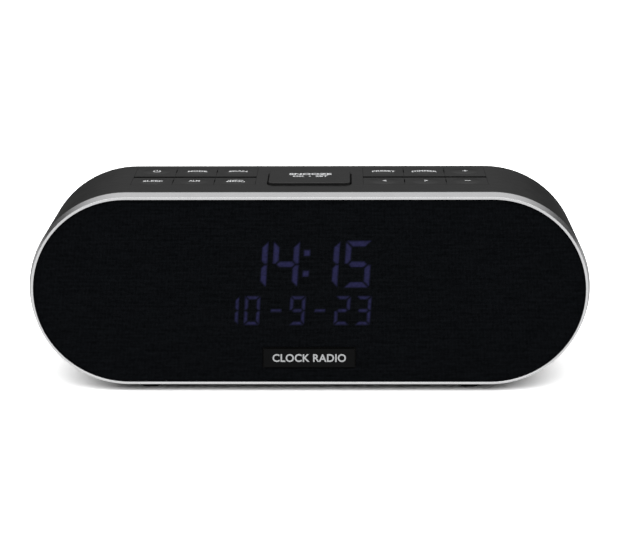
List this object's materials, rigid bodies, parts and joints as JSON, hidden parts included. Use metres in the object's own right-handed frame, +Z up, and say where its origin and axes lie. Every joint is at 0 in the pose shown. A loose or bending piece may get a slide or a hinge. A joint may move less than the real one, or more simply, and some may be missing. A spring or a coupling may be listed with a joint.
{
  "type": "tabletop clock radio",
  "caption": "Wide tabletop clock radio with half-round ends, a cloth front over two speakers and a segment display, push keys on top and sockets behind.",
  "frame": {"origin": "middle of the radio's footprint, on the surface that the feet stand on", "axes": "+Z up, -Y towards the listener, +X to the right as seen from the front"},
  "size_m": [0.251, 0.0636, 0.0924],
  "materials": {
    "body_plastic": "fine satin moulded texture",
    "cover_plastic": "fine satin moulded texture",
    "key_plastic": "satin",
    "inner_plastic": "matte",
    "trim_metal": "brushed, with a bright cut edge",
    "front_cloth": "fine plain weave",
    "badge_plastic": "satin",
    "foot_rubber": "matte",
    "screw_steel": "blackened",
    "smoked_lens": "gloss",
    "segment_diffuser": "translucent",
    "circuit_board": "solder mask",
    "tinned_steel": "bright",
    "component_plastic": "matte",
    "socket_plastic": "satin",
    "cable_jacket": "satin",
    "stamped_steel": "black",
    "cone_paper": "pressed paper",
    "surround_rubber": "matte",
    "magnet_ferrite": "matt grey",
    "plunger_plastic": "natural"
  },
  "bodies": {
    "chassis": {"body_shell": "body_plastic", "rear_cover": "cover_plastic", "trim_ring": "trim_metal", "front_baffle": "inner_plastic", "grille_frame": "inner_plastic", "grille_cloth": "front_cloth", "badge_plate": "badge_plastic", "rubber_feet": "foot_rubber", "cover_screws": "screw_steel", "baffle_screws": "screw_steel", "display_window": "smoked_lens", "display_housing": "inner_plastic", "display_segments": "segment_diffuser", "display_board": "circuit_board", "main_board": "circuit_board", "tuner_shield": "tinned_steel", "board_components": "component_plastic", "key_board": "circuit_board", "switch_bodies": "component_plastic", "board_screws": "screw_steel", "dc_jack": "socket_plastic", "headphone_jack": "socket_plastic", "antenna_grommet": "foot_rubber", "ribbon_cables": "cable_jacket", "speaker_leads": "cable_jacket", "speaker_screws": "screw_steel", "left_speaker_frame": "stamped_steel", "left_speaker_suspension": "surround_rubber", "left_speaker_magnet": "magnet_ferrite", "right_speaker_frame": "stamped_steel", "right_speaker_suspension": "surround_rubber", "right_speaker_magnet": "magnet_ferrite"},
    "key_power": {"key_power": "key_plastic", "plunger_power": "plunger_plastic"},
    "key_mode": {"key_mode": "key_plastic", "plunger_mode": "plunger_plastic"},
    "key_scan": {"key_scan": "key_plastic", "plunger_scan": "plunger_plastic"},
    "key_sleep": {"key_sleep": "key_plastic", "plunger_sleep": "plunger_plastic"},
    "key_alarm": {"key_alarm": "key_plastic", "plunger_alarm": "plunger_plastic"},
    "key_menu": {"key_menu": "key_plastic", "plunger_menu": "plunger_plastic"},
    "key_preset": {"key_preset": "key_plastic", "plunger_preset": "plunger_plastic"},
    "key_dimmer": {"key_dimmer": "key_plastic", "plunger_dimmer": "plunger_plastic"},
    "key_volume_up": {"key_volume_up": "key_plastic", "plunger_volume_up": "plunger_plastic"},
    "key_previous": {"key_previous": "key_plastic", "plunger_previous": "plunger_plastic"},
    "key_next": {"key_next": "key_plastic", "plunger_next": "plunger_plastic"},
    "key_volume_down": {"key_volume_down": "key_plastic", "plunger_volume_down": "plunger_plastic"},
    "key_snooze": {"key_snooze": "key_plastic", "plunger_snooze": "plunger_plastic"},
    "left_cone": {"left_speaker_cone": "cone_paper"},
    "right_cone": {"right_speaker_cone": "cone_paper"}
  },
  "joints": [
    {"name": "power_press", "type": "slide", "parent": "chassis", "child": "key_power", "axis": [0, 0, -1], "range_m": [0, 0.0005], "stiffness_N_per_m": 800, "springref_m": -0.001},
    {"name": "mode_press", "type": "slide", "parent": "chassis", "child": "key_mode", "axis": [0, 0, -1], "range_m": [0, 0.0005], "stiffness_N_per_m": 800, "springref_m": -0.001},
    {"name": "scan_press", "type": "slide", "parent": "chassis", "child": "key_scan", "axis": [0, 0, -1], "range_m": [0, 0.0005], "stiffness_N_per_m": 800, "springref_m": -0.001},
    {"name": "sleep_press", "type": "slide", "parent": "chassis", "child": "key_sleep", "axis": [0, 0, -1], "range_m": [0, 0.0005], "stiffness_N_per_m": 800, "springref_m": -0.001},
    {"name": "alarm_press", "type": "slide", "parent": "chassis", "child": "key_alarm", "axis": [0, 0, -1], "range_m": [0, 0.0005], "stiffness_N_per_m": 800, "springref_m": -0.001},
    {"name": "menu_press", "type": "slide", "parent": "chassis", "child": "key_menu", "axis": [0, 0, -1], "range_m": [0, 0.0005], "stiffness_N_per_m": 800, "springref_m": -0.001},
    {"name": "preset_press", "type": "slide", "parent": "chassis", "child": "key_preset", "axis": [0, 0, -1], "range_m": [0, 0.0005], "stiffness_N_per_m": 800, "springref_m": -0.001},
    {"name": "dimmer_press", "type": "slide", "parent": "chassis", "child": "key_dimmer", "axis": [0, 0, -1], "range_m": [0, 0.0005], "stiffness_N_per_m": 800, "springref_m": -0.001},
    {"name": "volume_up_press", "type": "slide", "parent": "chassis", "child": "key_volume_up", "axis": [0, 0, -1], "range_m": [0, 0.0005], "stiffness_N_per_m": 800, "springref_m": -0.001},
    {"name": "previous_press", "type": "slide", "parent": "chassis", "child": "key_previous", "axis": [0, 0, -1], "range_m": [0, 0.0005], "stiffness_N_per_m": 800, "springref_m": -0.001},
    {"name": "next_press", "type": "slide", "parent": "chassis", "child": "key_next", "axis": [0, 0, -1], "range_m": [0, 0.0005], "stiffness_N_per_m": 800, "springref_m": -0.001},
    {"name": "volume_down_press", "type": "slide", "parent": "chassis", "child": "key_volume_down", "axis": [0, 0, -1], "range_m": [0, 0.0005], "stiffness_N_per_m": 800, "springref_m": -0.001},
    {"name": "snooze_press", "type": "slide", "parent": "chassis", "child": "key_snooze", "axis": [0, 0, -1], "range_m": [0, 0.0008], "stiffness_N_per_m": 900, "springref_m": -0.0012},
    {"name": "left_cone_stroke", "type": "slide", "parent": "chassis", "child": "left_cone", "axis": [0, -1, 0], "range_m": [-0.001, 0.001], "stiffness_N_per_m": 700, "deforming": ["left_speaker_suspension"]},
    {"name": "right_cone_stroke", "type": "slide", "parent": "chassis", "child": "right_cone", "axis": [0, -1, 0], "range_m": [-0.001, 0.001], "stiffness_N_per_m": 700, "deforming": ["right_speaker_suspension"]}
  ]
}
